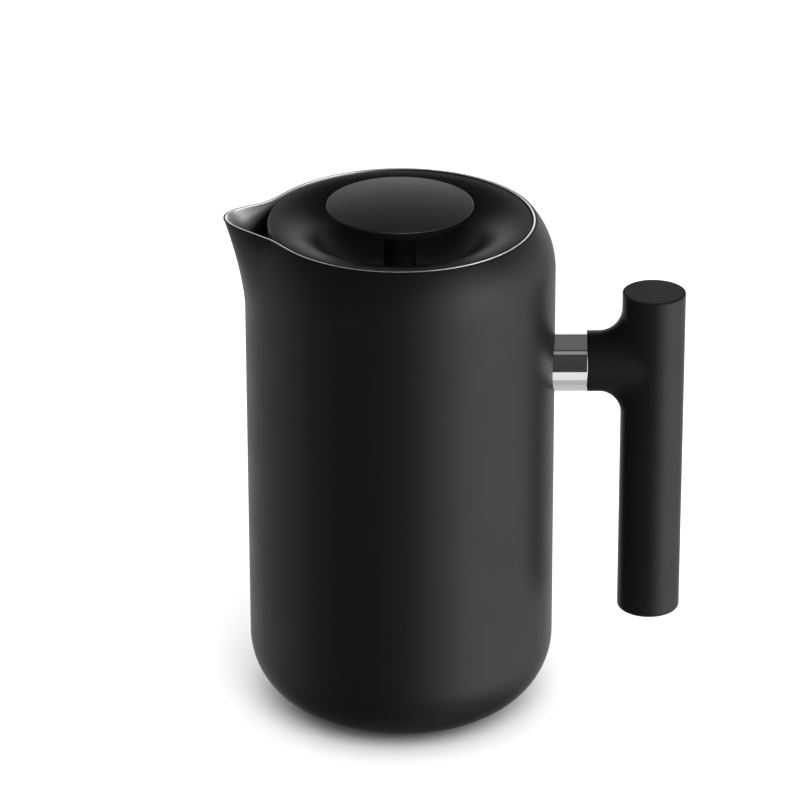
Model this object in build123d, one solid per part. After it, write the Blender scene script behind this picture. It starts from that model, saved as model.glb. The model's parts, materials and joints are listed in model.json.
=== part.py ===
from build123d import *

import math
import os

# French press: a double-wall steel vessel with a pouring lip and a T-shaped handle,
# a bowl-shaped lid with a strainer skirt, and a plunger with a fine filter.
# Frame: origin on the table under the vessel's axis, +Z up, handle towards +X, lip towards -X.
# Every length is in millimetres and every angle in degrees.

# ---------------------------------------------------------------- vessel
BODY_R = 53.0  # outside radius of the straight wall
RIM_Z = 180.8  # top of the mouth above the table
RIM_R = 46.5  # outside radius of the mouth
BORE_R = 45.3  # inside radius, constant so that the filter can travel
WALL = 0.5  # sheet thickness of both walls
FOOT_H = 1.0  # how far the foot pad lifts the shell
BASE_ROUND = 25.0  # rounding between the wall and the underside
SHOULDER_ROUND = 27.7  # rounding between the wall and the mouth
LINER_FLOOR_Z = 6.0  # inside floor of the liner
LINER_ROUND = 12.0  # rounding at the liner's floor
RIM_BAND = 0.8  # height of the joint between the walls at the mouth

LIP_START_Z = 150.0  # where the pouring lip starts to leave the wall
LIP_REACH = 59.9  # how far the lip's tip stands from the axis
LIP_RISE = 1.0  # how far the mouth's edge rises towards the tip
LIP_CURVE = 1.65  # power that bends the lip's ridge outwards
LIP_SPREAD = 12.9  # angle about the axis where the lip has half its reach, at the mouth
LIP_SPREAD_BELOW = 22.0  # the same where the lip starts
LIP_ROUNDNESS = 2.15  # power of the lip's bell-shaped plan
LIP_GATHER = 0.35  # spacing of the outline's points at the lip, as a share of even spacing
CHANNEL_START_Z = 153.0  # where the pouring channel starts to leave the bore
CHANNEL_CURVE = 1.15  # power that bends the channel's floor outwards
SECTION_POINTS = 64  # points of each lofted outline
SECTIONS = 9  # outlines between the start of the lip and the mouth
FUSE_TOLERANCE = 0.004

DIMPLE_R = 7.0  # pressed recess in the underside, around the vacuum port
DIMPLE_H = 1.4
PORT_R = 1.0
PLUG_R = 4.0
PLUG_H = 0.9
GETTER_R = 6.0
GETTER_H = 1.2
GETTER_X = 17.0
FOOT_R = 27.4
FOOT_GROOVE_R = 21.0  # middle of the ring groove in the foot pad
FOOT_GROOVE_W = 1.6
FOOT_GROOVE_H = 0.4

# ---------------------------------------------------------------- handle
GRIP_X = 86.7  # distance of the grip's axis from the vessel's axis
GRIP_R = 10.85
GRIP_TOP_Z = 153.6
GRIP_BOTTOM_Z = 34.1
GRIP_BOTTOM_EDGE = 1.0
GRIP_TOP_EDGE = 0.35
NECK_Z = 128.0
NECK_R = 10.5
NECK_BLEND = 9.0  # fillet between neck and grip
NECK_X = 64.0  # where the neck meets the ferrule
FERRULE_WALL = 1.2
FERRULE_EDGE = 0.3  # rounded edges where the ferrule and the neck meet
INTO_SHELL = 2.0  # how far the handle's blanks reach past the wall before they are cut to it
GRIP_BORE_R = 8.0
GRIP_BORE_FLOOR_Z = 45.0
SEAT_X = 80.0  # flat seat of the washer inside the grip
SEAT_R = 6.6
BOSS_R = 7.5
BOSS_END_X = 57.0
STUD_R = 3.0
STUD_END_X = 88.0
STUD_CHAMFER = 0.6
WASHER_R = 6.2
WASHER_H = 1.2
NUT_ACROSS = 10.0
NUT_H = 5.0
WEIGHT_R = 7.6
WEIGHT_TOP_Z = 112.0
WEIGHT_EDGE = 0.8
CAP_R = 10.15
CAP_H = 2.4
CAP_PLUG_R = 7.9
CAP_PLUG_WALL = 1.4
CAP_PLUG_H = 7.0

# ---------------------------------------------------------------- lid
LID_R = 44.85
LID_TOP_Z = RIM_Z - 0.3
LID_WALL = 2.0
LID_FLAT = 1.2  # flat edge outside the bowl
LID_EDGE = 0.5
DISH_FLOOR_Z = 165.0
DISH_LIP_ROUND = 20.0
DISH_SLOPE = 50.0  # steepest slope of the bowl
COLLAR_BOTTOM_Z = 172.0
COLLAR_WALL = 1.8
SKIRT_WALL = 1.5
SKIRT_BOTTOM_Z = 140.0
SKIRT_GAP = 0.1
SKIRT_TOP_GAP = 0.3
GROOVE_Z = 143.0
GROOVE_H = 6.0
GROOVE_DEPTH = 0.7
GASKET_WALL = 1.4
GASKET_FINS = 2
FIN_RISE = 1.2  # height of a fin's sloping underside
FIN_BLUNT = 0.6  # height of its edge
FIN_BACK = 0.5  # height of its sloping back
SLOT_COUNT = 36
SLOT_W = 2.4
SLOT_H = 15.0
SLOT_Z = 162.0
GUIDE_R = 4.4
GUIDE_FLANGE_R = 5.3  # no wider than the knob's neck, which hides it
GUIDE_FLANGE_H = 1.0  # the flange lies flush in the floor of the bowl
GUIDE_EDGE = 0.2
GUIDE_BOTTOM_Z = 157.0
GUIDE_NUT_ACROSS = 15.0
GUIDE_NUT_H = 3.0
ORING_WIRE_R = 0.4
ORING_Z = 158.8

# ---------------------------------------------------------------- plunger
ROD_R = 3.0
ROD_END_R = 2.45  # threaded ends of the rod
ROD_SHOULDER_Z = 25.0
ROD_BOTTOM_Z = 14.6
ROD_TOP_Z = 176.0
ROD_CHAMFER = 0.5
KNOB_R = 25.0
KNOB_EDGE_Z = 185.3  # underside of the knob's cap
KNOB_EDGE_H = 0.9
KNOB_CREST = 1.5  # how far the cap's middle stands above its edge
KNOB_EDGE_ROUND = 0.35
KNOB_SIDE_R = 24.7
KNOB_SIDE_BOTTOM_R = 22.4
KNOB_SIDE_BOTTOM_Z = 182.5
KNOB_HEEL_W = 1.5  # bevel between the knob's side and its underside
KNOB_HEEL_H = 0.6
KNOB_NECK_R = 5.45
KNOB_NECK_BLEND = 4.0
KNOB_HUB_Z = 179.8  # underside of the knob beside its neck
INSERT_R = 4.0
INSERT_BOTTOM_Z = 169.0
INSERT_TOP_Z = 178.0
FILTER_Z = 19.0  # underside of the filter stack, pressed right down
PLATE_H = 0.8
MESH_H = 0.4
FILTER_R = 42.6
PLATE_RIM_WALL = 0.8
PLATE_RIM_H = 5.3
WIPER_WALL = 1.4
WIPER_EDGE = 0.4
WIPER_FLARE = 0.5  # how far each lip of the wiper stands past the filter stack
WIPER_LIP_H = 0.6
WIPER_ROOT = 1.6
HUB_R = 6.5
HUB_H = 8.0
HUB_EDGE = 1.0
FILTER_NUT_ACROSS = 11.0
FILTER_NUT_H = 3.4
PLATE_HOLE_R = 2.1
PLATE_HOLE_RINGS = ((13.0, 10), (20.0, 16), (27.0, 22), (34.0, 28))  # ring radius, hole count
WINDOW_RINGS = ((10.0, 22.0), (25.0, 38.0))  # inner and outer radius
SPOKES = 8
SPOKE_W = 3.6

# ---------------------------------------------------------------- fits
RUN = 0.05  # radial clearance of a running fit
SLIP = 0.10  # radial clearance of a silicone ring in the bore
SEAM = 0.15  # visible gap around a set-in part
CUT = 1.0  # how far a cutting tool runs past the surface it opens


# ================================================================ helpers
def line(*points):
    """A straight outline from (r, z) points."""
    return Polyline(*[(r, 0, z) for r, z in points])


def arc(centre, radius, start, end):
    """An arc of an (r, z) outline about a centre, between two angles from the +r direction."""
    points = []
    for angle in (start, (start + end) / 2, end):
        a = math.radians(angle)
        points.append((centre[0] + radius * math.cos(a), 0, centre[1] + radius * math.sin(a)))
    return ThreePointArc(*points)


def turned(*edges):
    """A solid turned about Z from a closed (r, z) outline."""
    return revolve(make_face(Wire([e for part in edges for e in part.edges()])), Axis.Z)


def lathe(*points):
    """A solid turned about Z from straight (r, z) outline points."""
    return turned(line(*points, points[0]))


def disc(radius, low, high, x=0.0):
    """An upright round block between two heights."""
    return Pos(x, 0, low) * extrude(Circle(radius), amount=high - low)


def ring(outer, inner, low, high):
    return disc(outer, low, high) - disc(inner, low - CUT, high + CUT)


def bar_x(radius, start, end, z=NECK_Z):
    """A round bar along X."""
    return Pos(start, 0, z) * Rot(0, 90, 0) * extrude(Circle(radius), amount=end - start)


def hexagon(across, height):
    """A hexagonal block standing on Z = 0."""
    return extrude(RegularPolygon(across / 2, 6, major_radius=False), amount=height)


def around(tool, count, phase=0.0):
    """Copies of a tool, evenly spaced about Z."""
    return [Rot(0, 0, phase + 360.0 * i / count) * tool for i in range(count)]


# ================================================================ vessel outline
def shoulder_radius(z):
    """Outside radius of the vessel's round part at a height above the base rounding."""
    centre_r = BODY_R - SHOULDER_ROUND
    rise = math.sqrt(SHOULDER_ROUND**2 - (RIM_R - centre_r) ** 2)
    centre_z = RIM_Z - rise
    if z <= centre_z:
        return BODY_R
    return centre_r + math.sqrt(SHOULDER_ROUND**2 - (z - centre_z) ** 2)


def bell(angle, spread):
    """Share of the lip's reach at an angle away from the lip's middle."""
    return 0.5 ** ((abs(angle) / math.radians(spread)) ** LIP_ROUNDNESS)


def outline(z, main_r, tip_r, spread, offset):
    """A circle drawn out into the lip, then moved outwards along its own normal by an offset."""
    def radius(angle):
        return main_r + (tip_r - main_r) * bell(angle, spread)

    points = []
    step = math.radians(0.1)
    for i in range(SECTION_POINTS):
        u = 2 * i / SECTION_POINTS - 1
        angle = math.pi * (LIP_GATHER * u + (1 - LIP_GATHER) * u**3)
        r = radius(angle)
        slope = (radius(angle + step) - radius(angle - step)) / (2 * step)
        normal = angle - math.atan2(slope, r)
        x = -r * math.cos(angle) - offset * math.cos(normal)
        y = r * math.sin(angle) + offset * math.sin(normal)
        points.append(Vector(x, y, z))
    return Wire([Edge.make_spline(points, periodic=True)])


def lip_share(z, start_z):
    """How far a height is on the way from the start of the lip to the mouth, from 0 to 1."""
    return min(1.0, max(0.0, (z - start_z) / (RIM_Z - start_z)))


def lip_spread(share):
    return LIP_SPREAD_BELOW + (LIP_SPREAD - LIP_SPREAD_BELOW) * share


def outside_section(z, inset):
    """The vessel's outline at a height, moved inwards by an inset."""
    share = lip_share(z, LIP_START_Z)
    tip_r = BODY_R + (LIP_REACH - BODY_R) * share**LIP_CURVE
    return outline(z, shoulder_radius(z), tip_r, lip_spread(share), -inset)


def bore_section(z, outset):
    """The liner's inside outline at a height, moved outwards by an outset."""
    share = lip_share(z, CHANNEL_START_Z)
    tip_r = RIM_R + (LIP_REACH - RIM_R) * share**CHANNEL_CURVE
    return outline(z, RIM_R, tip_r, lip_spread(share), BORE_R - RIM_R + outset)


def round_bottomed(radius, floor_z, rounding, top_z, section, offset):
    """A cup-shaped block: a turned lower part and a lofted upper part with the lip."""
    centre = (radius - rounding, floor_z + rounding)
    lower = turned(
        line((0, top_z), (0, floor_z), (centre[0], floor_z)),
        arc(centre, rounding, -90, 0),
        line((radius, centre[1]), (radius, top_z), (0, top_z)),
    )
    heights = [top_z + (RIM_Z - top_z) * i / (SECTIONS - 1) for i in range(SECTIONS)]
    heights.append(RIM_Z + LIP_RISE + CUT)
    upper = Solid.make_loft([section(z, offset) for z in heights])
    return lower.fuse(upper, tol=FUSE_TOLERANCE)


def outside_block(inset):
    """Everything inside the vessel's outer surface, moved inwards by an inset."""
    return round_bottomed(
        BODY_R - inset, FOOT_H + inset, BASE_ROUND - inset, LIP_START_Z, outside_section, inset
    )


def bore_block(outset):
    """Everything inside the liner's inner surface, moved outwards by an outset."""
    return round_bottomed(
        BORE_R + outset, LINER_FLOOR_Z - outset, LINER_ROUND + outset, CHANNEL_START_Z, bore_section, outset
    )


def above(z):
    """A block that covers everything above a height."""
    return Pos(0, 0, z + BODY_R) * Box(4 * BODY_R, 4 * BODY_R, 2 * BODY_R)


def above_mouth():
    """A block above the mouth's edge, which is level round the circle and rises towards the lip's tip."""
    far = 2 * BODY_R
    far_rise = LIP_RISE * (far - RIM_R) / (LIP_REACH - RIM_R)
    bend = (-RIM_R, RIM_Z)
    top = RIM_Z + far
    side = line((far, RIM_Z), bend, (-far, RIM_Z + far_rise), (-far, top), (far, top), (far, RIM_Z))
    return extrude(make_face(Wire(side.edges())), far, both=True)


# ================================================================ vessel parts
def outer_shell():
    dimple_z = FOOT_H + DIMPLE_H
    shell = outside_block(0) - outside_block(WALL) - above_mouth()
    shell += disc(DIMPLE_R + WALL, FOOT_H, dimple_z + WALL)
    shell -= disc(DIMPLE_R, FOOT_H - CUT, dimple_z)
    return shell - disc(PORT_R, 0, dimple_z + WALL + CUT)


def inner_liner():
    rim = outside_block(WALL) & above(RIM_Z - RIM_BAND)
    return (bore_block(WALL) + rim) - bore_block(0) - above_mouth()


def vacuum_plug():
    top = FOOT_H + DIMPLE_H
    return disc(PLUG_R, top - PLUG_H, top)


def getter():
    top = LINER_FLOOR_Z - WALL
    return disc(GETTER_R, top - GETTER_H, top, x=GETTER_X)


def foot_pad():
    half = FOOT_GROOVE_W / 2
    groove = ring(FOOT_GROOVE_R + half, FOOT_GROOVE_R - half, -CUT, FOOT_GROOVE_H)
    return disc(FOOT_R, 0, FOOT_H) - groove


# ================================================================ handle parts
def off_the_shell(part):
    """The part with the vessel's straight wall cut away from it."""
    return part - disc(BODY_R, NECK_Z - 2 * NECK_R, NECK_Z + 2 * NECK_R)


def handle_stud():
    boss = bar_x(BOSS_R, BODY_R - INTO_SHELL, BOSS_END_X)
    stud = bar_x(STUD_R, BOSS_END_X - CUT, STUD_END_X)
    stud = chamfer(stud.edges().filter_by(GeomType.CIRCLE).sort_by(Axis.X)[-1], STUD_CHAMFER)
    return off_the_shell(boss + stud)


def ferrule():
    tube = bar_x(NECK_R, BODY_R - INTO_SHELL, NECK_X)
    tube = fillet(tube.edges().sort_by(Axis.X)[-1], FERRULE_EDGE)
    return off_the_shell(tube - bar_x(NECK_R - FERRULE_WALL, 0, NECK_X + CUT))


def grip():
    post = disc(GRIP_R, GRIP_BOTTOM_Z, GRIP_TOP_Z, x=GRIP_X)
    post = fillet(post.edges().filter_by(GeomType.CIRCLE).sort_by(Axis.Z)[0], GRIP_BOTTOM_EDGE)
    post = fillet(post.edges().filter_by(GeomType.CIRCLE).sort_by(Axis.Z)[-1], GRIP_TOP_EDGE)
    neck = bar_x(NECK_R, NECK_X, GRIP_X)
    tee = post + neck
    joint = [
        e
        for e in tee.edges()
        if NECK_X + CUT < e.center().X < GRIP_X and abs(e.center().Z - NECK_Z) < NECK_R
    ]
    tee = fillet(joint, NECK_BLEND)
    tee = fillet(tee.edges().filter_by(GeomType.CIRCLE).sort_by(Axis.X)[0], FERRULE_EDGE)
    tee -= disc(GRIP_BORE_R, GRIP_BORE_FLOOR_Z, GRIP_TOP_Z + CUT, x=GRIP_X)
    tee -= disc(CAP_R + SEAM, GRIP_TOP_Z - CAP_H, GRIP_TOP_Z + CUT, x=GRIP_X)
    tee -= bar_x(STUD_R + SEAM, NECK_X - CUT, GRIP_X)
    return tee - bar_x(SEAT_R, SEAT_X, GRIP_X)


def handle_washer():
    return bar_x(WASHER_R, SEAT_X, SEAT_X + WASHER_H) - bar_x(STUD_R + SEAM, NECK_X, GRIP_X)


def handle_nut():
    start = SEAT_X + WASHER_H
    nut = Pos(start, 0, NECK_Z) * Rot(0, 90, 0) * hexagon(NUT_ACROSS, NUT_H)
    return nut - bar_x(STUD_R + RUN, NECK_X, GRIP_X + CAP_R)


def grip_weight():
    slug = disc(WEIGHT_R, GRIP_BORE_FLOOR_Z, WEIGHT_TOP_Z, x=GRIP_X)
    return chamfer(slug.edges().filter_by(GeomType.CIRCLE), WEIGHT_EDGE)


def grip_cap():
    seat_z = GRIP_TOP_Z - CAP_H
    top = disc(CAP_R, seat_z, GRIP_TOP_Z, x=GRIP_X)
    top = fillet(top.edges().filter_by(GeomType.CIRCLE).sort_by(Axis.Z)[-1], GRIP_TOP_EDGE)
    plug = disc(CAP_PLUG_R, seat_z - CAP_PLUG_H, seat_z, x=GRIP_X)
    hollow = disc(CAP_PLUG_R - CAP_PLUG_WALL, seat_z - CAP_PLUG_H - CUT, seat_z, x=GRIP_X)
    return top + (plug - hollow)


# ================================================================ lid parts
def bowl():
    """The lid's bowl as two tangent arcs: their centres, radii and the radius of the flat floor."""
    slope = math.radians(DISH_SLOPE)
    start_r = LID_R - LID_FLAT
    turn_z = LID_TOP_Z - DISH_LIP_ROUND * (1 - math.cos(slope))
    floor_round = (turn_z - DISH_FLOOR_Z) / (1 - math.cos(slope))
    lip_centre = (start_r, LID_TOP_Z - DISH_LIP_ROUND)
    floor_r = start_r - (DISH_LIP_ROUND + floor_round) * math.sin(slope)
    floor_centre = (floor_r, DISH_FLOOR_Z + floor_round)
    return lip_centre, floor_centre, floor_round, floor_r


def lid_dish():
    lip_centre, floor_centre, floor_round, floor_r = bowl()
    hole_r = GUIDE_R + RUN
    seat_r = GUIDE_FLANGE_R + SEAM
    seat_z = DISH_FLOOR_Z - GUIDE_FLANGE_H
    collar_r = LID_R - COLLAR_WALL
    under_z = DISH_FLOOR_Z - LID_WALL
    under_round = DISH_LIP_ROUND - LID_WALL
    collar_angle = math.degrees(math.acos((collar_r - lip_centre[0]) / under_round))
    collar_z = lip_centre[1] + under_round * math.sin(math.radians(collar_angle))
    edge_centre = (LID_R - LID_EDGE, LID_TOP_Z - LID_EDGE)
    return turned(
        line((hole_r, seat_z), (seat_r, seat_z), (seat_r, DISH_FLOOR_Z), (floor_r, DISH_FLOOR_Z)),
        arc(floor_centre, floor_round, -90, -90 + DISH_SLOPE),
        arc(lip_centre, DISH_LIP_ROUND, 90 + DISH_SLOPE, 90),
        line((lip_centre[0], LID_TOP_Z), (edge_centre[0], LID_TOP_Z)),
        arc(edge_centre, LID_EDGE, 90, 0),
        line((LID_R, edge_centre[1]), (LID_R, COLLAR_BOTTOM_Z)),
        line((LID_R, COLLAR_BOTTOM_Z), (collar_r, COLLAR_BOTTOM_Z), (collar_r, collar_z)),
        arc(lip_centre, under_round, collar_angle, 90 + DISH_SLOPE),
        arc(floor_centre, floor_round + LID_WALL, -90 + DISH_SLOPE, -90),
        line((floor_r, under_z), (hole_r, under_z), (hole_r, seat_z)),
    )


def skirt_radius():
    return LID_R - COLLAR_WALL - SKIRT_GAP


def strainer_skirt():
    outer = skirt_radius()
    inner = outer - SKIRT_WALL
    top_z = LID_TOP_Z - LID_WALL - SKIRT_TOP_GAP
    skirt = ring(outer, inner, SKIRT_BOTTOM_Z, top_z)
    skirt -= ring(outer + CUT, outer - GROOVE_DEPTH, GROOVE_Z, GROOVE_Z + GROOVE_H)
    cutter = extrude(SlotOverall(SLOT_H, SLOT_W), amount=2 * SKIRT_WALL, both=True)
    return skirt - around(Pos(outer, 0, SLOT_Z) * Rot(0, 90, 0) * cutter, SLOT_COUNT)


def lid_gasket():
    low = GROOVE_Z + RUN
    high = GROOVE_Z + GROOVE_H - RUN
    inner = skirt_radius() - GROOVE_DEPTH + RUN
    body = inner + GASKET_WALL
    lip = BORE_R - SLIP
    outside = []
    for i in range(GASKET_FINS):
        root = low + (high - low) * i / GASKET_FINS
        edge = root + FIN_RISE
        outside += [(body, root), (lip, edge), (lip, edge + FIN_BLUNT), (body, edge + FIN_BLUNT + FIN_BACK)]
    return lathe((inner, low), *outside, (body, high), (inner, high))


def rod_guide():
    top = DISH_FLOOR_Z
    guide = disc(GUIDE_R, GUIDE_BOTTOM_Z, top) + disc(GUIDE_FLANGE_R, top - GUIDE_FLANGE_H, top)
    guide = fillet(guide.edges().filter_by(GeomType.CIRCLE).group_by(Axis.Z)[-1], GUIDE_EDGE)
    guide -= disc(ROD_R + RUN, GUIDE_BOTTOM_Z - CUT, top + CUT)
    groove_r = ROD_R + RUN + 2 * ORING_WIRE_R + RUN
    return guide - disc(groove_r, ORING_Z - ORING_WIRE_R - RUN, ORING_Z + ORING_WIRE_R + RUN)


def rod_seal():
    return Pos(0, 0, ORING_Z) * Torus(ROD_R + RUN + ORING_WIRE_R, ORING_WIRE_R)


def guide_nut():
    top = DISH_FLOOR_Z - LID_WALL
    nut = Pos(0, 0, top - GUIDE_NUT_H) * hexagon(GUIDE_NUT_ACROSS, GUIDE_NUT_H)
    return nut - disc(GUIDE_R, top - GUIDE_NUT_H - CUT, top + CUT)


# ================================================================ plunger parts
def knob_cap():
    low = KNOB_EDGE_Z
    high = KNOB_EDGE_Z + KNOB_EDGE_H
    r = KNOB_EDGE_ROUND
    flat_r = KNOB_R - r
    dome_r = (flat_r**2 + KNOB_CREST**2) / (2 * KNOB_CREST)
    dome_centre = (0, high + KNOB_CREST - dome_r)
    dome_edge = math.degrees(math.acos(flat_r / dome_r))
    return turned(
        line((0, high + KNOB_CREST), (0, low), (flat_r, low)),
        arc((flat_r, low + r), r, -90, 0),
        line((KNOB_R, low + r), (KNOB_R, high - r)),
        arc((flat_r, high - r), r, 0, 90),
        arc(dome_centre, dome_r, dome_edge, 90),
    )


def knob_neck_bottom():
    return DISH_FLOOR_Z + RUN


def knob_body():
    blend_centre = (KNOB_NECK_R + KNOB_NECK_BLEND, KNOB_HUB_Z - KNOB_NECK_BLEND)
    bottom = knob_neck_bottom()
    body = turned(
        line((0, bottom), (KNOB_NECK_R, bottom), (KNOB_NECK_R, blend_centre[1])),
        arc(blend_centre, KNOB_NECK_BLEND, 180, 90),
        line(
            (blend_centre[0], KNOB_HUB_Z),
            (KNOB_SIDE_BOTTOM_R - KNOB_HEEL_W, KNOB_SIDE_BOTTOM_Z - KNOB_HEEL_H),
            (KNOB_SIDE_BOTTOM_R, KNOB_SIDE_BOTTOM_Z), (KNOB_SIDE_R, KNOB_EDGE_Z),
            (0, KNOB_EDGE_Z), (0, bottom),
        ),
    )
    body -= disc(ROD_R + RUN, bottom - CUT, INSERT_BOTTOM_Z)
    return body - disc(INSERT_R, INSERT_BOTTOM_Z, INSERT_TOP_Z)


def knob_insert():
    insert = disc(INSERT_R, INSERT_BOTTOM_Z, INSERT_TOP_Z)
    return insert - disc(ROD_END_R, INSERT_BOTTOM_Z - CUT, ROD_TOP_Z)


def plunger_rod():
    shaft = disc(ROD_R, ROD_SHOULDER_Z, INSERT_BOTTOM_Z)
    ends = disc(ROD_END_R, ROD_BOTTOM_Z, ROD_TOP_Z)
    ends = chamfer(ends.edges().filter_by(GeomType.CIRCLE), ROD_CHAMFER)
    return shaft + ends


def stack_z(layer):
    """Underside of a layer of the filter: 0 support plate, 1 mesh, 2 top plate, 3 hub."""
    return FILTER_Z + (0, PLATE_H, PLATE_H + MESH_H, 2 * PLATE_H + MESH_H)[layer]


def rod_hole():
    return disc(ROD_END_R + RUN, ROD_BOTTOM_Z - CUT, ROD_SHOULDER_Z)


def support_plate():
    low = stack_z(0)
    plate = disc(FILTER_R, low, stack_z(1)) - rod_hole()
    spokes = around(Pos(FILTER_R / 2, 0, low) * Box(FILTER_R, SPOKE_W, 4 * PLATE_H), SPOKES)
    for inner, outer in WINDOW_RINGS:
        plate -= ring(outer, inner, low - CUT, low + CUT) - spokes
    return plate


def filter_mesh():
    return disc(FILTER_R, stack_z(1), stack_z(2)) - rod_hole()


def top_plate():
    low = stack_z(2)
    plate = disc(FILTER_R, low, low + PLATE_RIM_H)
    plate -= disc(FILTER_R - PLATE_RIM_WALL, low + PLATE_H, low + PLATE_RIM_H + CUT)
    holes = []
    for radius, count in PLATE_HOLE_RINGS:
        holes += around(disc(PLATE_HOLE_R, low - CUT, low + 2 * CUT, x=radius), count)
    return plate - holes - rod_hole()


def wiper_ring():
    low = FILTER_Z
    high = stack_z(2) + PLATE_RIM_H
    under = low - WIPER_FLARE
    over = high + WIPER_FLARE
    lip = BORE_R - SLIP
    inner = FILTER_R
    body = inner + WIPER_WALL
    edge = body - WIPER_EDGE
    return lathe(
        (inner, low), (edge, low), (lip, under), (lip, under + WIPER_LIP_H), (body, low + WIPER_ROOT),
        (body, high - WIPER_ROOT), (lip, over - WIPER_LIP_H), (lip, over), (edge, high), (inner, high),
    )


def filter_hub():
    low = stack_z(3)
    hub = disc(HUB_R, low, low + HUB_H)
    hub = fillet(hub.edges().filter_by(GeomType.CIRCLE).sort_by(Axis.Z)[-1], HUB_EDGE)
    return hub - rod_hole() - disc(ROD_R + RUN, ROD_SHOULDER_Z, low + HUB_H + CUT)


def filter_nut():
    nut = Pos(0, 0, FILTER_Z - FILTER_NUT_H) * hexagon(FILTER_NUT_ACROSS, FILTER_NUT_H)
    return nut - rod_hole()


PARTS = [
    outer_shell, inner_liner, vacuum_plug, getter, foot_pad,
    handle_stud, ferrule, grip, handle_washer, handle_nut, grip_weight, grip_cap,
    lid_dish, strainer_skirt, lid_gasket, rod_guide, rod_seal, guide_nut,
    knob_cap, knob_body, knob_insert, plunger_rod,
    support_plate, filter_mesh, top_plate, wiper_ring, filter_hub, filter_nut,
]

os.makedirs("parts", exist_ok=True)
for make in PARTS:
    export_step(make(), f"parts/{make.__name__}.step")
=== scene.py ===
import json
import math

import bpy
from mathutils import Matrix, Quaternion, Vector


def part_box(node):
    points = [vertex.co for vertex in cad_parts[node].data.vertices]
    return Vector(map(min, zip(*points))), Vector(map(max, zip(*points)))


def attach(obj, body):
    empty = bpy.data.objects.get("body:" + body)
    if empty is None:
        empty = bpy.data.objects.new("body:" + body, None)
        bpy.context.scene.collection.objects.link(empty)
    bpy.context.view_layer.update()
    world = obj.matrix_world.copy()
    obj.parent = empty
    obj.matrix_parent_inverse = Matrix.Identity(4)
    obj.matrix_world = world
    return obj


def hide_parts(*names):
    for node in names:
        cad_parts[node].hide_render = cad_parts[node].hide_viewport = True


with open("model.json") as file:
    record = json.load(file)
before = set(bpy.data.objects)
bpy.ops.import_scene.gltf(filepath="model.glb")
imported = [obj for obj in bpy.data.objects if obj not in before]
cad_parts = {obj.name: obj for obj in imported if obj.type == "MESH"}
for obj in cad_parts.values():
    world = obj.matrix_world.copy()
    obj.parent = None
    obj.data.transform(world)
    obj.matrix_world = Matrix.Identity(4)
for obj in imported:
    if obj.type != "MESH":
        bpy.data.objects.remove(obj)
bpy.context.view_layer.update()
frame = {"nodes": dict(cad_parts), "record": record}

# The french press in metres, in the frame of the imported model.
MM = 0.001

# ---------------------------------------------------------------- sizes
RIM_Z = 180.8 * MM
FOOT_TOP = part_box("foot_pad")[1].z
BODY_R = 53.0 * MM
RIM_R = 46.5 * MM
BORE_R = 45.3 * MM
WALL = 0.5 * MM
BASE_ROUND = 25.0 * MM
SHOULDER_ROUND = 27.7 * MM
LINER_FLOOR_Z = 6.0 * MM
LINER_ROUND = 12.0 * MM
LINER_FLAT_R = 20.0 * MM  # ring on the flat of the liner's floor
RIM_BAND = 0.8 * MM
RIM_ROUND = 0.22 * MM  # rounding of the bare steel edge
RIM_SEAM = 0.02 * MM  # gap between the steel edge and the coated one
COAT_DROP = 0.08 * MM  # how far the coated edge stays below the steel edge
COAT_EDGE = 0.15 * MM  # rounding of the coated sheet's edges
LIP_START_Z = 150.0 * MM
LIP_REACH = 59.9 * MM
LIP_RISE = 1.0 * MM
LIP_CURVE = 1.65  # power that bends the lip's ridge outwards
LIP_SPREAD = 12.9  # degrees about the axis where the lip has half its reach, at the mouth
LIP_SPREAD_BELOW = 22.0  # the same where the lip starts
LIP_ROUNDNESS = 2.15  # power of the lip's bell-shaped plan
LIP_GATHER = 0.35  # spacing of the points at the lip, as a share of even spacing
CHANNEL_START_Z = 153.0 * MM
CHANNEL_CURVE = 1.15  # power that bends the channel's floor outwards
DIMPLE_R = 7.0 * MM
DIMPLE_H = 1.4 * MM
PORT_R = 1.0 * MM

LID_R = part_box("lid_dish")[1].x
LID_TOP_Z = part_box("lid_dish")[1].z
LID_WALL = 2.0 * MM
LID_FLAT = 1.2 * MM
LID_EDGE = 0.5 * MM
LID_SOFT = 0.2 * MM  # rounding of the lid's lesser edges
DISH_FLOOR_Z = 165.0 * MM
DISH_LIP_ROUND = 20.0 * MM
DISH_SLOPE = 50.0  # steepest slope of the bowl, in degrees
COLLAR_BOTTOM_Z = 172.0 * MM
COLLAR_WALL = 1.8 * MM
WIRE_PITCH = 0.2 * MM  # from wire to wire in the filter's cloth
GUIDE_HOLE_R = 4.45 * MM
GUIDE_SEAT_R = 5.45 * MM
GUIDE_SEAT_H = 1.0 * MM

AROUND = 320  # points around a turned or lofted piece
LIP_STEPS = 48  # rings between the start of the lip and the mouth
HIDDEN_LIP_STEPS = 40  # the same on the liner's hidden side
CROWDING = 1.6  # power that brings these rings closer together towards the mouth
BASE_STEPS = 28  # steps in the rounding between a wall and its floor
WALL_STEPS = 24  # rings on the straight wall
EDGE_STEPS = 6  # steps in a rounded edge
DIMPLE_STEPS = 4  # steps in the dimple's edges
UNDER_STEPS = 8  # rings on the flat underside
BOWL_FLOOR_STEPS = 30  # steps in the hollow part of the lid's bowl
BOWL_LIP_STEPS = 34  # steps in its crowned part
LID_EDGE_STEPS = 8
LID_UNDER_STEPS = 24  # steps in each part of its hidden side
SEAT_STEPS = 3  # steps in the edge of the guide's seat


# ================================================================ mesh helpers
def arc(centre, radius, start, end, count):
    """Points (r, z) on an arc about a centre, between two angles in degrees from the +r direction."""
    points = []
    for i in range(count + 1):
        a = math.radians(start + (end - start) * i / count)
        points.append((centre[0] + radius * math.cos(a), centre[1] + radius * math.sin(a)))
    return points


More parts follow.
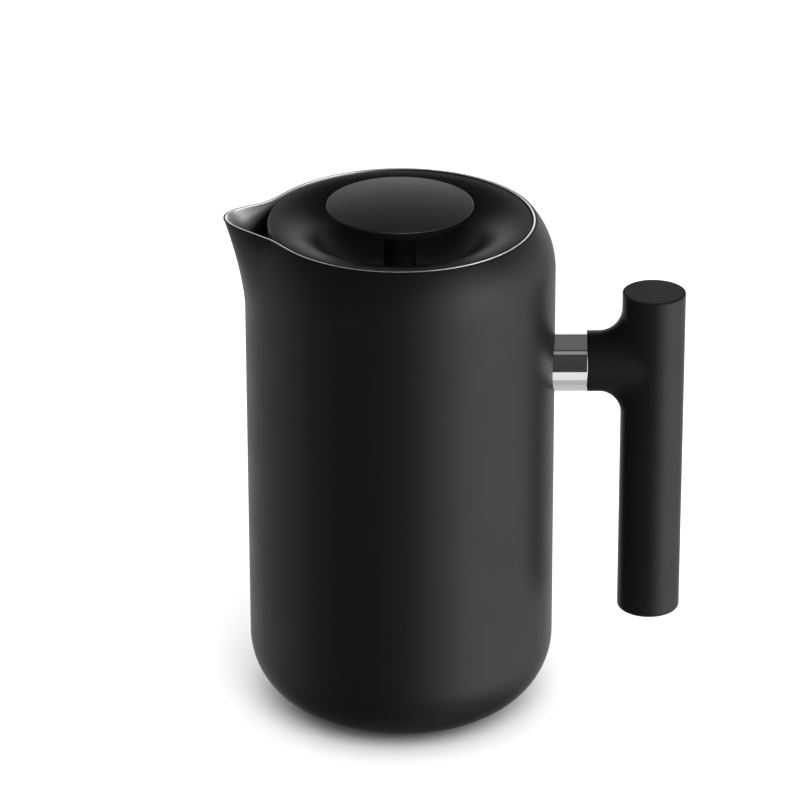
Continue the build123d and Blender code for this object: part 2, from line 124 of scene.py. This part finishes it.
def straight(start, end, count):
    """Evenly spaced points from start to end, both included."""
    return [
        tuple(s + (e - s) * i / count for s, e in zip(start, end)) for i in range(count + 1)
    ]


def quarter():
    """Angles in radians that step through the quarter circle of a rounded edge."""
    return [math.radians(90 * i / EDGE_STEPS) for i in range(EDGE_STEPS + 1)]


def without_repeats(points, tolerance=1e-7):
    """The points without those that repeat the one before."""
    kept = []
    for p in points:
        if not kept or max(abs(a - b) for a, b in zip(p, kept[-1])) > tolerance:
            kept.append(p)
    return kept


def add_mesh(name, verts, faces, material, sharp=40):
    """A smooth-shaded piece whose edges are sharp past an angle in degrees."""
    mesh = bpy.data.meshes.new(name)
    mesh.from_pydata(verts, [], faces)
    mesh.validate()
    mesh.shade_smooth()
    mesh.set_sharp_from_angle(angle=math.radians(sharp))
    mesh.materials.append(material)
    obj = bpy.data.objects.new(name, mesh)
    bpy.context.scene.collection.objects.link(obj)
    return obj


def skin(name, rings, material, closed=False, sharp=40):
    """A skin over rings of equally many points. One point alone is a pole. A closed skin joins its ends."""
    verts = []
    starts = []
    for ring in rings:
        starts.append(len(verts))
        verts.extend(ring)
    pairs = list(zip(range(len(rings) - 1), range(1, len(rings))))
    if closed:
        pairs.append((len(rings) - 1, 0))
    faces = []
    for a, b in pairs:
        na, nb = len(rings[a]), len(rings[b])
        for i in range(max(na, nb)):
            j = (i + 1) % max(na, nb)
            if na == 1:
                faces.append((starts[a], starts[b] + j, starts[b] + i))
            elif nb == 1:
                faces.append((starts[a] + i, starts[a] + j, starts[b]))
            else:
                faces.append((starts[a] + i, starts[a] + j, starts[b] + j, starts[b] + i))
    return add_mesh(name, verts, faces, material, sharp)


def circle(radius, z):
    turns = [2 * math.pi * i / AROUND for i in range(AROUND)]
    return [Vector((radius * math.cos(turn), radius * math.sin(turn), z)) for turn in turns]


def turned(name, profile, material):
    """A turned piece with a bore, from a closed (r, z) profile."""
    return skin(name, [circle(r, z) for r, z in without_repeats(profile)], material, closed=True)


# ================================================================ materials
class Nodes:
    """A short way to write a node material."""

    def __init__(self, name):
        self.material = bpy.data.materials.new(name)
        self.material.use_nodes = True
        self.tree = self.material.node_tree
        self.shader = self.tree.nodes["Principled BSDF"]

    def add(self, kind, **inputs):
        node = self.tree.nodes.new(kind)
        for key, value in inputs.items():
            socket = node.inputs[key.replace("_", " ")]
            if isinstance(value, bpy.types.NodeSocket):
                self.tree.links.new(value, socket)
            else:
                socket.default_value = value
        return node

    def math(self, operation, a, b=0.0):
        node = self.tree.nodes.new("ShaderNodeMath")
        node.operation = operation
        for i, value in enumerate((a, b)):
            if isinstance(value, bpy.types.NodeSocket):
                self.tree.links.new(value, node.inputs[i])
            else:
                node.inputs[i].default_value = value
        return node.outputs[0]

    def place(self):
        """Object coordinates, in metres in the row frame."""
        return self.tree.nodes.new("ShaderNodeTexCoord").outputs["Object"]

    def stretched(self, scale):
        node = self.add("ShaderNodeMapping", Vector=self.place())
        node.inputs["Scale"].default_value = scale
        return node.outputs["Vector"]

    def noise(self, vector, scale, detail=2.0, roughness=0.5):
        node = self.add("ShaderNodeTexNoise", Vector=vector, Scale=scale, Detail=detail, Roughness=roughness)
        return node.outputs["Fac"]

    def between(self, fac, low, high):
        """A value that runs from low to high as fac runs from 0.3 to 0.7, where a noise mostly lies."""
        node = self.add("ShaderNodeMapRange", Value=fac, From_Min=0.3, From_Max=0.7, To_Min=low, To_Max=high)
        return node.outputs["Result"]

    def colour_between(self, fac, low, high):
        node = self.tree.nodes.new("ShaderNodeMix")
        node.data_type = "RGBA"
        self.tree.links.new(fac, node.inputs["Factor"])
        node.inputs["A"].default_value = (*low, 1)
        node.inputs["B"].default_value = (*high, 1)
        return node.outputs["Result"]

    def bump(self, height, distance, strength=1.0, below=None):
        node = self.add("ShaderNodeBump", Height=height, Distance=distance, Strength=strength)
        if below is not None:
            self.tree.links.new(below, node.inputs["Normal"])
        return node.outputs["Normal"]

    def set(self, **inputs):
        for key, value in inputs.items():
            socket = self.shader.inputs[key.replace("_", " ")]
            if isinstance(value, bpy.types.NodeSocket):
                self.tree.links.new(value, socket)
            else:
                socket.default_value = value
        return self.material


def powder_coat():
    """Matte black powder coat: a fine grain over a faint orange peel."""
    n = Nodes("powder_coat_black")
    broad = n.noise(n.place(), 60)
    grain = n.noise(n.place(), 3200, detail=3)
    peel = n.noise(n.place(), 900, detail=1)
    return n.set(
        Base_Color=n.colour_between(grain, (0.0045, 0.0045, 0.0047), (0.0075, 0.0075, 0.0078)),
        Roughness=n.between(broad, 0.40, 0.44),
        Normal=n.bump(grain, 0.03 * MM, 0.5, below=n.bump(peel, 0.02 * MM, 0.5)),
    )


def moulded_plastic(name, dark, light, rough):
    """Black moulded plastic with a fine spark-eroded texture, between a dark and a light shade."""
    n = Nodes(name)
    broad = n.noise(n.place(), 45)
    grain = n.noise(n.place(), 2600, detail=3)
    return n.set(
        Base_Color=n.colour_between(grain, (dark, dark, dark), (light, light, light)),
        Roughness=n.between(broad, rough - 0.025, rough + 0.025),
        Normal=n.bump(grain, 0.03 * MM, 0.5),
    )


def silicone(name, shade):
    """Soft black rubber with a little dust on it."""
    n = Nodes(name)
    dust = n.noise(n.place(), 700, detail=4)
    return n.set(
        Base_Color=n.colour_between(dust, (shade, shade, shade), (shade * 1.5, shade * 1.5, shade * 1.55)),
        Roughness=n.between(dust, 0.62, 0.72),
        Normal=n.bump(dust, 0.02 * MM, 0.4),
    )


def brushed_round(name, tint, rough):
    """Steel brushed round the vessel's axis: its lines run level and its shine spreads up and down."""
    n = Nodes(name)
    split = n.add("ShaderNodeSeparateXYZ", Vector=n.place())
    turn = n.math("ARCTAN2", split.outputs["Y"], split.outputs["X"])
    along = n.add(
        "ShaderNodeCombineXYZ",
        X=n.math("MULTIPLY", turn, 4.0),
        Y=n.math("MULTIPLY", split.outputs["Z"], 5200.0),
    )
    lines = n.noise(along.outputs["Vector"], 1.0, detail=3, roughness=0.6)
    return n.set(
        Metallic=1.0,
        Base_Color=n.colour_between(lines, tuple(0.86 * c for c in tint), tint),
        Roughness=n.between(lines, rough - 0.05, rough + 0.07),
        Anisotropic=0.7,
        Anisotropic_Rotation=0.25,
        Normal=n.bump(lines, 0.01 * MM, 0.35),
    )


def smooth_steel(name, tint, rough, scratch=0.3):
    """Polished or ground steel with faint handling marks."""
    n = Nodes(name)
    cloud = n.noise(n.place(), 120, detail=4)
    marks = n.noise(n.stretched((4000.0, 350.0, 350.0)), 1.0, detail=2)
    return n.set(
        Metallic=1.0,
        Base_Color=n.colour_between(cloud, tuple(0.96 * c for c in tint), tint),
        Roughness=n.between(cloud, rough * 0.85, rough * 1.2),
        Normal=n.bump(marks, 0.004 * MM, scratch),
    )


def woven_cloth():
    """Fine wire cloth: two sets of crossing wires, with painted shade for the openings between them."""
    n = Nodes("filter_wire_cloth")
    split = n.add("ShaderNodeSeparateXYZ", Vector=n.place())
    turns = 2 * math.pi / (2 * WIRE_PITCH)
    waves = [n.math("SINE", n.math("MULTIPLY", split.outputs[axis], turns)) for axis in "XY"]
    weave = n.math("MULTIPLY_ADD", n.math("MULTIPLY", *waves), 0.5)
    wires = n.math("MAXIMUM", *(n.math("ABSOLUTE", wave) for wave in waves))
    wires_over_shaded_gaps = n.add("ShaderNodeMapRange", Value=wires, From_Min=0.25, From_Max=0.6).outputs["Result"]
    return n.set(
        Metallic=1.0,
        # the openings between the wires get a near-black colour: painted shade standing in for the dark seen
        # through the holes
        Base_Color=n.colour_between(wires_over_shaded_gaps, (0.03, 0.03, 0.03), (0.56, 0.555, 0.54)),
        Roughness=n.between(weave, 0.30, 0.42),
        Normal=n.bump(n.math("ADD", weave, wires_over_shaded_gaps), 0.05 * MM, 0.8),
    )


def cast_iron():
    """The rough skin of the weight in the grip."""
    n = Nodes("cast_weight_iron")
    sand = n.noise(n.place(), 1500, detail=6)
    return n.set(
        Metallic=0.6,
        Base_Color=n.colour_between(sand, (0.09, 0.09, 0.09), (0.17, 0.165, 0.16)),
        Roughness=n.between(sand, 0.5, 0.75),
        Normal=n.bump(sand, 0.1 * MM, 0.8),
    )


def machined_brass():
    """Turned brass with fine level tool lines."""
    n = Nodes("insert_brass")
    lines = n.noise(n.stretched((300.0, 300.0, 6000.0)), 1.0, detail=2)
    return n.set(
        Metallic=1.0,
        Base_Color=n.colour_between(lines, (0.62, 0.43, 0.18), (0.72, 0.52, 0.25)),
        Roughness=n.between(lines, 0.22, 0.34),
        Normal=n.bump(lines, 0.01 * MM, 0.4),
    )


# ================================================================ vessel outline
def shoulder_radius(z):
    """Outside radius of the vessel's round part at a height above the base rounding."""
    centre_r = BODY_R - SHOULDER_ROUND
    centre_z = RIM_Z - math.sqrt(SHOULDER_ROUND**2 - (RIM_R - centre_r) ** 2)
    if z <= centre_z:
        return BODY_R
    return centre_r + math.sqrt(SHOULDER_ROUND**2 - (z - centre_z) ** 2)


def bell(angle, spread):
    """Share of the lip's reach at an angle away from the lip's middle."""
    return 0.5 ** ((abs(angle) / math.radians(spread)) ** LIP_ROUNDNESS)


def lip_share(z, start_z):
    """How far a height is on the way from the start of the lip to the mouth, from 0 to 1."""
    return min(1.0, max(0.0, (z - start_z) / (RIM_Z - start_z)))


def lip_spread(share):
    """The lip's spread in degrees, which narrows on the way up."""
    return LIP_SPREAD_BELOW + (LIP_SPREAD - LIP_SPREAD_BELOW) * share


def outline(z, main_r, tip_r, spread, offset):
    """A ring of the vessel: a circle drawn out into the lip and raised there, moved out along its normal."""
    def radius(angle):
        return main_r + (tip_r - main_r) * bell(angle, spread)

    ring = []
    step = math.radians(0.1)
    for i in range(AROUND):
        u = 2 * i / AROUND - 1
        angle = math.pi * (LIP_GATHER * u + (1 - LIP_GATHER) * u**3)
        r = radius(angle)
        slope = (radius(angle + step) - radius(angle - step)) / (2 * step)
        normal = angle - math.atan2(slope, r)
        x = -r * math.cos(angle) - offset * math.cos(normal)
        y = -r * math.sin(angle) - offset * math.sin(normal)
        out = max(0.0, (-x - RIM_R) / (LIP_REACH - RIM_R))
        ring.append(Vector((x, y, z + LIP_RISE * out * lip_share(z, LIP_START_Z))))
    return ring


def outside_ring(z, inset=0.0):
    """The outside of the vessel at a height, moved inwards by an inset."""
    share = lip_share(z, LIP_START_Z)
    tip_r = BODY_R + (LIP_REACH - BODY_R) * share**LIP_CURVE
    return outline(z, shoulder_radius(z), tip_r, lip_spread(share), -inset)


def bore_ring(z, outset=0.0):
    """The inside of the liner at a height, moved outwards by an outset."""
    share = lip_share(z, CHANNEL_START_Z)
    tip_r = RIM_R + (LIP_REACH - RIM_R) * share**CHANNEL_CURVE
    return outline(z, RIM_R, tip_r, lip_spread(share), BORE_R - RIM_R + outset)


def rim_ring(inset, drop):
    """The mouth's outline moved inwards by an inset and down by a drop."""
    return [p - Vector((0, 0, drop)) for p in outside_ring(RIM_Z, inset)]


def plain_rings(profile):
    """Round rings from a (r, z) profile, with their points gathered like the lip's."""
    return [outline(z, r, r, LIP_SPREAD, 0.0) if r > 1e-9 else [Vector((0, 0, z))] for r, z in profile]


def wall_rings(radius, floor_z, rounding, top_z):
    """Rings of a round-bottomed wall from the flat of its floor up to a height."""
    centre = (radius - rounding, floor_z + rounding)
    profile = arc(centre, rounding, -90, 0, BASE_STEPS)
    profile += straight((radius, centre[1]), (radius, top_z), WALL_STEPS)
    return without_repeats(profile)


def heights(low, high, count):
    """Heights from low to high, closer together towards the top."""
    return [high - (high - low) * (1 - i / count) ** CROWDING for i in range(count + 1)]


# ================================================================ vessel pieces
def shell_skin(material):
    """The coated outer wall. Its edge is turned in against the liner's edge at the mouth."""
    edge = COAT_EDGE
    top = RIM_Z - COAT_DROP
    dimple_z = FOOT_TOP + DIMPLE_H
    under = [(PORT_R, dimple_z)] + arc((DIMPLE_R - edge, dimple_z - edge), edge, 90, 0, DIMPLE_STEPS)
    under += arc((DIMPLE_R + edge, FOOT_TOP + edge), edge, 180, 270, DIMPLE_STEPS)
    under += straight((DIMPLE_R + edge, FOOT_TOP), (BODY_R - BASE_ROUND, FOOT_TOP), UNDER_STEPS)
    outer = without_repeats(under + wall_rings(BODY_R, FOOT_TOP, BASE_ROUND, LIP_START_Z))
    lip_heights = heights(LIP_START_Z, top - edge, LIP_STEPS)[1:]
    rings = plain_rings(outer) + [outside_ring(z) for z in lip_heights]
    for a in quarter()[1:]:
        rings.append(rim_ring(edge * (1 - math.cos(a)), COAT_DROP + edge * (1 - math.sin(a))))
    rings.append(rim_ring(WALL, COAT_DROP))
    rings += [outside_ring(z, WALL) for z in reversed(lip_heights)]
    inner = wall_rings(BODY_R - WALL, FOOT_TOP + WALL, BASE_ROUND - WALL, LIP_START_Z)
    dent = [(DIMPLE_R + WALL + edge, FOOT_TOP + WALL), (DIMPLE_R + WALL, dimple_z + WALL - edge)]
    dent += [(DIMPLE_R + WALL - edge, dimple_z + WALL), (PORT_R, dimple_z + WALL)]
    rings += plain_rings(list(reversed(inner)) + dent)
    piece = skin("shell_skin", rings, material, closed=True)
    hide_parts("outer_shell")
    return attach(piece, "vessel")


def liner_skin(material):
    """The brushed inner wall. Its edge is the thin bare line round the mouth."""
    under = RIM_Z - RIM_BAND
    edge = RIM_R - BORE_R
    seam = WALL + RIM_SEAM
    outer = wall_rings(BORE_R + WALL, LINER_FLOOR_Z - WALL, LINER_ROUND + WALL, CHANNEL_START_Z)
    rise = heights(CHANNEL_START_Z, under, HIDDEN_LIP_STEPS)[1:]
    under_z = LINER_FLOOR_Z - WALL
    rings = plain_rings([(0, under_z), (LINER_FLAT_R, under_z)] + outer)
    rings += [bore_ring(z, WALL) for z in rise]
    rings.append(rim_ring(seam, RIM_BAND))
    for a in quarter():
        rings.append(rim_ring(seam + RIM_ROUND * (1 - math.cos(a)), RIM_ROUND * (1 - math.sin(a))))
    for a in quarter():
        rings.append(rim_ring(edge - RIM_ROUND * (1 - math.sin(a)), RIM_ROUND * (1 - math.cos(a))))
    fall = reversed(heights(CHANNEL_START_Z, RIM_Z - RIM_ROUND, LIP_STEPS)[1:-1])
    rings += [bore_ring(z) for z in fall]
    inner = wall_rings(BORE_R, LINER_FLOOR_Z, LINER_ROUND, CHANNEL_START_Z)
    rings += plain_rings(list(reversed(inner)) + [(LINER_FLAT_R, LINER_FLOOR_Z), (0, LINER_FLOOR_Z)])
    piece = skin("liner_skin", rings, material, sharp=50)
    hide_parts("inner_liner")
    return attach(piece, "vessel")


# ================================================================ lid pieces
def lid_bowl(material):
    """The bowl of the lid: one S-shaped wall between the floor and the rim, and a collar under the rim."""
    slope = math.radians(DISH_SLOPE)
    start_r = LID_R - LID_FLAT
    turn_z = LID_TOP_Z - DISH_LIP_ROUND * (1 - math.cos(slope))
    floor_round = (turn_z - DISH_FLOOR_Z) / (1 - math.cos(slope))
    lip_centre = (start_r, LID_TOP_Z - DISH_LIP_ROUND)
    floor_r = start_r - (DISH_LIP_ROUND + floor_round) * math.sin(slope)
    floor_centre = (floor_r, DISH_FLOOR_Z + floor_round)
    collar_r = LID_R - COLLAR_WALL
    under_z = DISH_FLOOR_Z - LID_WALL
    under_round = DISH_LIP_ROUND - LID_WALL
    collar_angle = math.degrees(math.acos((collar_r - lip_centre[0]) / under_round))
    seat_z = DISH_FLOOR_Z - GUIDE_SEAT_H
    soft = LID_SOFT
    profile = [(GUIDE_HOLE_R, seat_z), (GUIDE_SEAT_R, seat_z)]
    profile += arc((GUIDE_SEAT_R + soft, DISH_FLOOR_Z - soft), soft, 180, 90, SEAT_STEPS)
    profile += arc(floor_centre, floor_round, -90, -90 + DISH_SLOPE, BOWL_FLOOR_STEPS)
    profile += arc(lip_centre, DISH_LIP_ROUND, 90 + DISH_SLOPE, 90, BOWL_LIP_STEPS)
    profile += arc((LID_R - LID_EDGE, LID_TOP_Z - LID_EDGE), LID_EDGE, 90, 0, LID_EDGE_STEPS)
    profile += [(LID_R, COLLAR_BOTTOM_Z + soft), (LID_R - soft, COLLAR_BOTTOM_Z)]
    profile += [(collar_r + soft, COLLAR_BOTTOM_Z), (collar_r, COLLAR_BOTTOM_Z + soft)]
    profile += arc(lip_centre, under_round, collar_angle, 90 + DISH_SLOPE, LID_UNDER_STEPS)
    profile += arc(floor_centre, floor_round + LID_WALL, -90 + DISH_SLOPE, -90, LID_UNDER_STEPS)
    profile += [(GUIDE_HOLE_R, under_z)]
    piece = turned("lid_bowl", list(reversed(profile)), material)
    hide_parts("lid_dish")
    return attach(piece, "lid")


# ================================================================ camera, floor and light
def camera():
    """The camera looks along +Y and down, from a stride away."""
    pitch = math.radians(24.7)
    roll = math.radians(-0.17)
    distance = 1641.5 * MM
    target = Vector((-0.18, 0.0, 113.3)) * MM
    data = bpy.data.cameras.new("camera")
    data.sensor_width = 36.0
    data.lens = 214.3
    data.clip_start = 0.05
    data.clip_end = 60.0
    obj = bpy.data.objects.new("camera", data)
    back = Vector((0, -math.cos(pitch), math.sin(pitch)))
    obj.location = target + distance * back
    obj.rotation_mode = "QUATERNION"
    obj.rotation_quaternion = (-back).to_track_quat("-Z", "Y") @ Quaternion((0, 0, 1), roll)
    bpy.context.scene.collection.objects.link(obj)
    bpy.context.scene.camera = obj


def floor():
    """A matt white table top, seen by the camera and by diffuse light alone."""
    n = Nodes("studio_floor")
    material = n.set(Base_Color=(0.9, 0.9, 0.9, 1), Roughness=1.0, Specular_IOR_Level=0.0)
    half = 25.0
    corners = [(-half, -half, 0), (half, -half, 0), (half, half, 0), (-half, half, 0)]
    plane = add_mesh("studio_floor", corners, [(0, 1, 2, 3)], material)
    plane.visible_glossy = False
    plane.visible_shadow = False
    return plane


def lamp(data, place, target, receivers, blockers=()):
    """A light that falls on a few chosen objects, and is blocked by a few chosen ones or by everything."""
    obj = bpy.data.objects.new(data.name, data)
    obj.location = place
    obj.rotation_mode = "QUATERNION"
    obj.rotation_quaternion = (Vector(target) - Vector(place)).to_track_quat("-Z", "Y")
    obj.visible_camera = False
    bpy.context.scene.collection.objects.link(obj)
    chosen = bpy.data.collections.new(data.name + "_falls_on")
    for receiver in receivers:
        chosen.objects.link(receiver)
    obj.light_linking.receiver_collection = chosen
    if blockers:
        chosen = bpy.data.collections.new(data.name + "_blocked_by")
        for blocker in blockers:
            chosen.objects.link(blocker)
        obj.light_linking.blocker_collection = chosen


def card(name, place, target, size, brightness, receivers):
    """A soft white card of an even brightness."""
    data = bpy.data.lights.new(name, "AREA")
    data.shape = "RECTANGLE"
    data.size, data.size_y = size
    data.energy = brightness * math.pi * size[0] * size[1]
    lamp(data, place, target, receivers)


def table_light(name, table, blockers, energy, spread, azimuth, height):
    """A distant light on the table. Spread, angle to the right of the front and height are in degrees."""
    data = bpy.data.lights.new(name, "SUN")
    data.energy = energy
    data.angle = math.radians(spread)
    flat = math.cos(math.radians(height))
    turn = math.radians(azimuth)
    place = (flat * math.sin(turn), -flat * math.cos(turn), math.sin(math.radians(height)))
    lamp(data, place, (0, 0, 0), [table], blockers)


# Two distant lights on the table: name, energy, spread, angle to the right of the front, and height.
TABLE_LIGHTS = (
    ("table_front", 1.4, 36, 12, 50),
    ("table_above", 3.6, 130, 70, 78),
)

# Soft cards in metres: name, middle, the point that it faces, width and height, brightness, what it falls on.
CARDS = (
    # the long soft highlight on the right of the body, the bowl and the grip
    ("key_card", (1.0, -0.67, 0.60), (0, 0, 0.12), (0.95, 1.05), 0.85, "coated"),
    # the thin line on the knob's front edge
    ("edge_card", (0.22, -0.62, 0.72), (0, 0, 0.18), (0.5, 0.25), 9.0, "knob"),
    # the knob's side
    ("front_card", (0.1, -0.8, 0.26), (0, 0, 0.18), (0.8, 0.4), 2.0, "knob"),
    # the bright top of the ferrule and of the steel rim
    ("back_card", (0.06, 0.60, 0.36), (0.06, 0, 0.36), (0.5, 0.5), 1.1, "steel"),
    # the ferrule's bands: grey above, bright below, and a thin light line between them
    ("top_card", (0.06, 0.15, 0.95), (0.06, 0, 0.128), (0.8, 1.2), 0.09, "ferrule"),
    ("low_card", (0.07, -0.22, 0.002), (0.07, -0.22, 1.0), (0.14, 0.25), 0.95, "ferrule"),
    ("under_card", (0.07, 0.03, 0.002), (0.07, 0.03, 1.0), (0.14, 0.25), 0.55, "ferrule"),
    ("high_strip", (0.06, -0.36, 0.60), (0.06, 0, 0.128), (0.5, 0.12), 0.28, "ferrule"),
    # the inside of the lip
    ("lip_card", (0.72, -0.29, 0.74), (-0.05, 0, 0.18), (0.9, 0.6), 5.5, "liner"),
)

# Brightness of the room near the horizon, by the angle from the front (-Y) round to the right (+X).
ROOM_SIDES = (
    (-180, 0.90), (-150, 0.75), (-128, 0.45), (-96, 0.45), (-78, 0.28), (-62, 0.07), (-8, 0.04), (8, 0.06),
    (28, 0.75), (48, 1.7), (62, 1.9), (82, 1.4), (105, 1.05), (128, 0.50), (158, 0.90), (180, 0.90),
)
ROOM_BRIGHTEST = 1.9
ROOM_TOP = 0.06
ROOM_FADE = (2.0, 32.0)  # heights above the horizon, in degrees, where the sides give way to the top
ROOM_BOTTOM = 0.12  # share of the sides' brightness straight below
BOTTOM_FADE = (-54.0, -24.0)


def studio():
    """A dark-fronted room with a bright right side and back, which the camera sees as plain white."""
    world = bpy.data.worlds.new("studio")
    bpy.context.scene.world = world
    world.use_nodes = True
    tree = world.node_tree
    link = tree.links.new

    def math_node(operation, *values):
        node = tree.nodes.new("ShaderNodeMath")
        node.operation = operation
        for i, value in enumerate(values):
            if isinstance(value, bpy.types.NodeSocket):
                link(value, node.inputs[i])
            else:
                node.inputs[i].default_value = value
        return node.outputs[0]

    split = tree.nodes.new("ShaderNodeSeparateXYZ")
    link(tree.nodes.new("ShaderNodeTexCoord").outputs["Generated"], split.inputs["Vector"])
    turn = math_node("ARCTAN2", split.outputs["X"], math_node("MULTIPLY", split.outputs["Y"], -1.0))
    sides = tree.nodes.new("ShaderNodeValToRGB")
    link(math_node("MULTIPLY_ADD", turn, 0.5 / math.pi, 0.5), sides.inputs["Fac"])
    stops = sides.color_ramp.elements
    for angle, brightness in ROOM_SIDES[1:-1]:
        stops.new((angle + 180.0) / 360.0)
    for stop, (angle, brightness) in zip(stops, ROOM_SIDES):
        shade = brightness / ROOM_BRIGHTEST
        stop.color = (shade, shade, shade, 1)
    sides.color_ramp.interpolation = "EASE"
    height = math_node("ARCSINE", split.outputs["Z"])

    def fade(span, low, high):
        node = tree.nodes.new("ShaderNodeMapRange")
        node.interpolation_type = "SMOOTHSTEP"
        link(height, node.inputs["Value"])
        node.inputs["From Min"].default_value = math.radians(span[0])
        node.inputs["From Max"].default_value = math.radians(span[1])
        node.inputs["To Min"].default_value = low
        node.inputs["To Max"].default_value = high
        return node.outputs["Result"]

    low_fade = fade(BOTTOM_FADE, ROOM_BOTTOM * ROOM_BRIGHTEST, ROOM_BRIGHTEST)
    around = math_node("MULTIPLY", sides.outputs["Color"], low_fade)
    room = tree.nodes.new("ShaderNodeMix")
    link(fade(ROOM_FADE, 0.0, 1.0), room.inputs[0])
    link(around, room.inputs[2])
    room.inputs[3].default_value = ROOM_TOP
    path = tree.nodes.new("ShaderNodeLightPath")
    strength = math_node("MAXIMUM", room.outputs[0], path.outputs["Is Camera Ray"])
    link(strength, tree.nodes["Background"].inputs["Strength"])
    tree.nodes["Background"].inputs["Color"].default_value = (1, 1, 1, 1)


# ================================================================ the scene
bpy.context.scene.view_settings.view_transform = "Standard"

camera()
table = floor()
studio()

slots = {
    "powder_black": powder_coat(),
    "brushed_steel": brushed_round("liner_brushed", (0.74, 0.735, 0.72), 0.38),
    "plain_steel": smooth_steel("plain_steel", (0.56, 0.56, 0.55), 0.32),
    "polished_steel": smooth_steel("ferrule_polish", (0.80, 0.79, 0.77), 0.07, scratch=0.12),
    "rod_steel": smooth_steel("rod_ground", (0.68, 0.68, 0.67), 0.16, scratch=0.2),
    "plate_steel": smooth_steel("plate_satin", (0.62, 0.615, 0.60), 0.3),
    "mesh_steel": woven_cloth(),
    "getter_metal": smooth_steel("getter_metal", (0.42, 0.42, 0.43), 0.5),
    "cast_weight": cast_iron(),
    "insert_brass": machined_brass(),
    "grip_plastic": moulded_plastic("grip_soft_black", 0.006, 0.010, 0.42),
    "lid_plastic": moulded_plastic("lid_satin_black", 0.008, 0.012, 0.36),
    "knob_plastic": moulded_plastic("knob_satin_black", 0.008, 0.012, 0.34),
    "guide_plastic": moulded_plastic("guide_black", 0.008, 0.012, 0.42),
    "seal_silicone": silicone("seal_silicone_black", 0.012),
    "foot_silicone": silicone("foot_silicone_black", 0.012),
}
for entry in frame["record"]["subparts"]:
    mesh = frame["nodes"][entry["node"]].data
    mesh.materials.clear()
    mesh.materials.append(slots[entry["material_slot"]])

shell = shell_skin(slots["powder_black"])
liner = liner_skin(slots["brushed_steel"])
bowl = lid_bowl(slots["lid_plastic"])

nodes = frame["nodes"]
ferrule = nodes["ferrule"]
falls_on = {
    "coated": [shell, bowl, *(node for node in nodes.values() if node is not ferrule)],
    "knob": [nodes["knob_cap"], nodes["knob_body"]],
    "steel": [ferrule, liner],
    "ferrule": [ferrule],
    "liner": [liner],
}
standing = [shell, nodes["foot_pad"]]
for name, energy, spread, azimuth, height in TABLE_LIGHTS:
    table_light(name, table, standing, energy, spread, azimuth, height)
for name, place, target, size, brightness, group in CARDS:
    card(name, place, target, size, brightness, falls_on[group])
